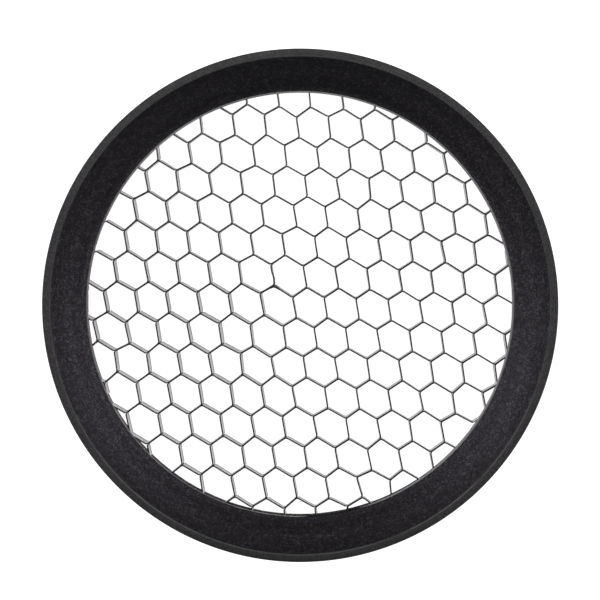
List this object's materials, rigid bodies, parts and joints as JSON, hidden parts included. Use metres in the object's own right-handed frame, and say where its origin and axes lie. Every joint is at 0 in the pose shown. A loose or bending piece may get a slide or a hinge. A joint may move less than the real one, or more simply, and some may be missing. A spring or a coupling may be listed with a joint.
{
  "type": "honeycomb grid",
  "caption": "Round honeycomb light grid: corrugated metal foil core in a thin hoop, set in a black moulded ring with a textured flared front and a flat magnetic rear face.",
  "frame": {"origin": "centre of the ring on the flat rear face that sits against the lamp", "axes": "+Z along the ring's axis towards the front (light exit) side, +Y up when the grid is looked at from the front, +X to the right"},
  "size_m": [0.076, 0.076, 0.0145],
  "materials": {
    "satin_black_plastic": "satin, fine moulded grain",
    "textured_black_band": "coarse spark-eroded matte texture",
    "raw_aluminium_edge": "raw rolled strip, cut edge bare",
    "black_coated_foil": "thin satin black coat",
    "nickel_plated_magnet": "nickel plated, lightly brushed by handling",
    "blackened_steel": "black oxide"
  },
  "bodies": {
    "root": {"core_hoop": "raw_aluminium_edge", "foil_ribbon_01_a": "black_coated_foil", "foil_ribbon_01_b": "black_coated_foil", "foil_ribbon_01_c": "black_coated_foil", "foil_ribbon_02": "black_coated_foil", "foil_ribbon_03": "black_coated_foil", "foil_ribbon_04": "black_coated_foil", "foil_ribbon_05": "black_coated_foil", "foil_ribbon_06": "black_coated_foil", "foil_ribbon_07": "black_coated_foil", "foil_ribbon_08": "black_coated_foil", "foil_ribbon_09": "black_coated_foil", "foil_ribbon_10": "black_coated_foil", "foil_ribbon_11": "black_coated_foil", "foil_ribbon_12": "black_coated_foil", "foil_ribbon_13": "black_coated_foil", "foil_ribbon_14": "black_coated_foil", "foil_ribbon_15": "black_coated_foil", "foil_ribbon_16": "black_coated_foil", "foil_ribbon_17": "black_coated_foil", "foil_ribbon_18": "black_coated_foil", "foil_ribbon_19": "black_coated_foil", "foil_ribbon_20_a": "black_coated_foil", "foil_ribbon_20_b": "black_coated_foil", "foil_ribbon_21": "black_coated_foil", "foil_ribbon_22_a": "black_coated_foil", "foil_ribbon_22_b": "black_coated_foil", "foil_ribbon_23_a": "black_coated_foil", "foil_ribbon_23_b": "black_coated_foil", "foil_ribbon_23_c": "black_coated_foil", "funnel_bezel": "textured_black_band", "magnet_01": "nickel_plated_magnet", "magnet_02": "nickel_plated_magnet", "magnet_03": "nickel_plated_magnet", "magnet_04": "nickel_plated_magnet", "magnet_05": "nickel_plated_magnet", "magnet_06": "nickel_plated_magnet", "magnet_07": "nickel_plated_magnet", "magnet_08": "nickel_plated_magnet", "outer_ring": "satin_black_plastic", "rear_ring": "satin_black_plastic", "screw_01": "blackened_steel", "screw_02": "blackened_steel", "screw_03": "blackened_steel", "screw_04": "blackened_steel"}
  },
  "joints": []
}
